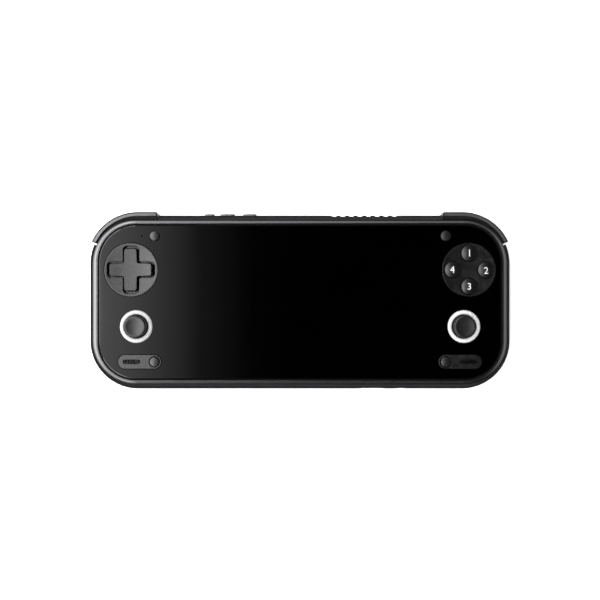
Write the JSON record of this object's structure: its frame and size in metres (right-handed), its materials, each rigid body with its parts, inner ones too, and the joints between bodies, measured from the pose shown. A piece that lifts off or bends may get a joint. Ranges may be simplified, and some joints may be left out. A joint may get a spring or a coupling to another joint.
{
  "type": "handheld game console",
  "caption": "Pocket-size handheld game console with an all-glass front, D-pad, face buttons, thumb sticks in white rings, shoulder buttons and triggers.",
  "frame": {"origin": "centre of the flat rear face, on the surface that the console lies on", "axes": "+X towards the player's right, +Y towards the shoulder edge, +Z out of the screen"},
  "size_m": [0.156, 0.0655, 0.018],
  "materials": {
    "glass_black": "black cover glass, polished, printed black behind",
    "frame_metal": "dark anodised, fine bead-blasted, bright chamfer",
    "rear_plastic": "black moulded, fine grain",
    "display_black": "dark display, switched off",
    "control_plastic": "dark satin moulded",
    "button_plastic": "black satin, numerals printed white",
    "stick_rubber": "black moulded rubber",
    "ring_white": "milky white diffuser",
    "shoulder_plastic": "dark grey satin moulded",
    "key_metal": "dark anodised, polished edge",
    "membrane_rubber": "grey silicone",
    "steel": "drawn and pressed steel",
    "board_green": "green circuit board",
    "battery_wrap": "dark grey wrap",
    "port_plastic": "black moulded",
    "fan_plastic": "black moulded",
    "speaker_black": "black moulded",
    "copper": "copper plate and fins, lightly tarnished",
    "screw_black": "black coated steel"
  },
  "bodies": {
    "console": {"front_glass": "glass_black", "mid_frame": "frame_metal", "rear_cover": "rear_plastic", "display_panel": "display_black", "dpad_dish": "control_plastic", "dpad_membrane": "membrane_rubber", "face_button_dish": "control_plastic", "face_button_membrane": "membrane_rubber", "left_control_board": "board_green", "right_control_board": "board_green", "main_board": "board_green", "key_board": "board_green", "battery": "battery_wrap", "usb_port": "steel", "headphone_jack": "port_plastic", "fan_housing": "fan_plastic", "heat_sink": "copper", "rear_screws": "screw_black", "board_screws": "steel", "left_light_ring": "ring_white", "left_stick_housing": "steel", "left_pill_plate": "control_plastic", "left_speaker": "speaker_black", "left_shoulder_pin": "steel", "right_light_ring": "ring_white", "right_stick_housing": "steel", "right_pill_plate": "control_plastic", "right_speaker": "speaker_black", "right_shoulder_pin": "steel"},
    "dpad_pivot": {"dpad_pivot_ball": "steel"},
    "dpad": {"dpad": "control_plastic"},
    "face_button_top": {"face_button_top": "button_plastic"},
    "face_button_left": {"face_button_left": "button_plastic"},
    "face_button_right": {"face_button_right": "button_plastic"},
    "face_button_bottom": {"face_button_bottom": "button_plastic"},
    "left_upper_button": {"left_upper_button": "button_plastic"},
    "left_lower_button": {"left_lower_button": "button_plastic"},
    "left_stick_saddle": {"left_stick_saddle": "fan_plastic"},
    "left_stick_yoke": {"left_stick_yoke": "fan_plastic"},
    "left_stick": {"left_stick_cap": "stick_rubber", "left_stick_lever": "steel"},
    "left_shoulder_button": {"left_shoulder_button": "shoulder_plastic"},
    "left_trigger": {"left_trigger": "shoulder_plastic"},
    "right_upper_button": {"right_upper_button": "button_plastic"},
    "right_lower_button": {"right_lower_button": "button_plastic"},
    "right_stick_saddle": {"right_stick_saddle": "fan_plastic"},
    "right_stick_yoke": {"right_stick_yoke": "fan_plastic"},
    "right_stick": {"right_stick_cap": "stick_rubber", "right_stick_lever": "steel"},
    "right_shoulder_button": {"right_shoulder_button": "shoulder_plastic"},
    "right_trigger": {"right_trigger": "shoulder_plastic"},
    "power_key": {"power_key": "key_metal"},
    "volume_up_key": {"volume_up_key": "key_metal"},
    "volume_down_key": {"volume_down_key": "key_metal"},
    "fan_rotor": {"fan_rotor": "fan_plastic"}
  },
  "joints": [
    {"name": "dpad_tilt_x", "type": "hinge", "parent": "console", "child": "dpad_pivot", "pos_m": [-0.06207, 0.01186, 0.0109], "axis": [1, 0, 0], "range_deg": [-3.5, 3.5], "stiffness_Nm_per_rad": 0.02},
    {"name": "dpad_tilt_y", "type": "hinge", "parent": "dpad_pivot", "child": "dpad", "pos_m": [-0.06207, 0.01186, 0.0109], "axis": [0, 1, 0], "range_deg": [-3.5, 3.5], "stiffness_Nm_per_rad": 0.02},
    {"name": "face_button_top_press", "type": "slide", "parent": "console", "child": "face_button_top", "axis": [0, 0, -1], "range_m": [0, 0.0009], "stiffness_N_per_m": 600},
    {"name": "face_button_left_press", "type": "slide", "parent": "console", "child": "face_button_left", "axis": [0, 0, -1], "range_m": [0, 0.0009], "stiffness_N_per_m": 600},
    {"name": "face_button_right_press", "type": "slide", "parent": "console", "child": "face_button_right", "axis": [0, 0, -1], "range_m": [0, 0.0009], "stiffness_N_per_m": 600},
    {"name": "face_button_bottom_press", "type": "slide", "parent": "console", "child": "face_button_bottom", "axis": [0, 0, -1], "range_m": [0, 0.0009], "stiffness_N_per_m": 600},
    {"name": "left_upper_button_press", "type": "slide", "parent": "console", "child": "left_upper_button", "axis": [0, 0, -1], "range_m": [0, 0.0005], "stiffness_N_per_m": 800},
    {"name": "left_lower_button_press", "type": "slide", "parent": "console", "child": "left_lower_button", "axis": [0, 0, -1], "range_m": [0, 0.0005], "stiffness_N_per_m": 800},
    {"name": "left_stick_click", "type": "slide", "parent": "console", "child": "left_stick_saddle", "axis": [0, 0, -1], "range_m": [0, 0.0003], "stiffness_N_per_m": 1500},
    {"name": "left_stick_tilt_x", "type": "hinge", "parent": "left_stick_saddle", "child": "left_stick_yoke", "pos_m": [-0.0602, -0.00899, 0.008], "axis": [1, 0, 0], "range_deg": [-11, 11], "stiffness_Nm_per_rad": 0.012},
    {"name": "left_stick_tilt_y", "type": "hinge", "parent": "left_stick_yoke", "child": "left_stick", "pos_m": [-0.0602, -0.00899, 0.008], "axis": [0, 1, 0], "range_deg": [-11, 11], "stiffness_Nm_per_rad": 0.012},
    {"name": "left_shoulder_button_press", "type": "hinge", "parent": "console", "child": "left_shoulder_button", "pos_m": [-0.05445, 0.0287, 0.01], "axis": [0, 0, 1], "range_deg": [0, 1.5], "stiffness_Nm_per_rad": 1.2},
    {"name": "left_trigger_pull", "type": "hinge", "parent": "console", "child": "left_trigger", "pos_m": [-0.05445, 0.0287, 0.005], "axis": [0, 0, 1], "range_deg": [0, 5], "stiffness_Nm_per_rad": 0.6},
    {"name": "right_upper_button_press", "type": "slide", "parent": "console", "child": "right_upper_button", "axis": [0, 0, -1], "range_m": [0, 0.0005], "stiffness_N_per_m": 800},
    {"name": "right_lower_button_press", "type": "slide", "parent": "console", "child": "right_lower_button", "axis": [0, 0, -1], "range_m": [0, 0.0005], "stiffness_N_per_m": 800},
    {"name": "right_stick_click", "type": "slide", "parent": "console", "child": "right_stick_saddle", "axis": [0, 0, -1], "range_m": [0, 0.0003], "stiffness_N_per_m": 1500},
    {"name": "right_stick_tilt_x", "type": "hinge", "parent": "right_stick_saddle", "child": "right_stick_yoke", "pos_m": [0.0602, -0.00899, 0.008], "axis": [1, 0, 0], "range_deg": [-11, 11], "stiffness_Nm_per_rad": 0.012},
    {"name": "right_stick_tilt_y", "type": "hinge", "parent": "right_stick_yoke", "child": "right_stick", "pos_m": [0.0602, -0.00899, 0.008], "axis": [0, 1, 0], "range_deg": [-11, 11], "stiffness_Nm_per_rad": 0.012},
    {"name": "right_shoulder_button_press", "type": "hinge", "parent": "console", "child": "right_shoulder_button", "pos_m": [0.05445, 0.0287, 0.01], "axis": [0, 0, -1], "range_deg": [0, 1.5], "stiffness_Nm_per_rad": 1.2},
    {"name": "right_trigger_pull", "type": "hinge", "parent": "console", "child": "right_trigger", "pos_m": [0.05445, 0.0287, 0.005], "axis": [0, 0, -1], "range_deg": [0, 5], "stiffness_Nm_per_rad": 0.6},
    {"name": "power_key_press", "type": "slide", "parent": "console", "child": "power_key", "axis": [0, -1, 0], "range_m": [0, 0.00035], "stiffness_N_per_m": 1500},
    {"name": "volume_up_key_press", "type": "slide", "parent": "console", "child": "volume_up_key", "axis": [0, -1, 0], "range_m": [0, 0.00035], "stiffness_N_per_m": 1500},
    {"name": "volume_down_key_press", "type": "slide", "parent": "console", "child": "volume_down_key", "axis": [0, -1, 0], "range_m": [0, 0.00035], "stiffness_N_per_m": 1500},
    {"name": "fan_spin", "type": "hinge", "parent": "console", "child": "fan_rotor", "pos_m": [0.0239, 0.008, 0.0045], "axis": [0, 0, 1], "continuous": true}
  ]
}
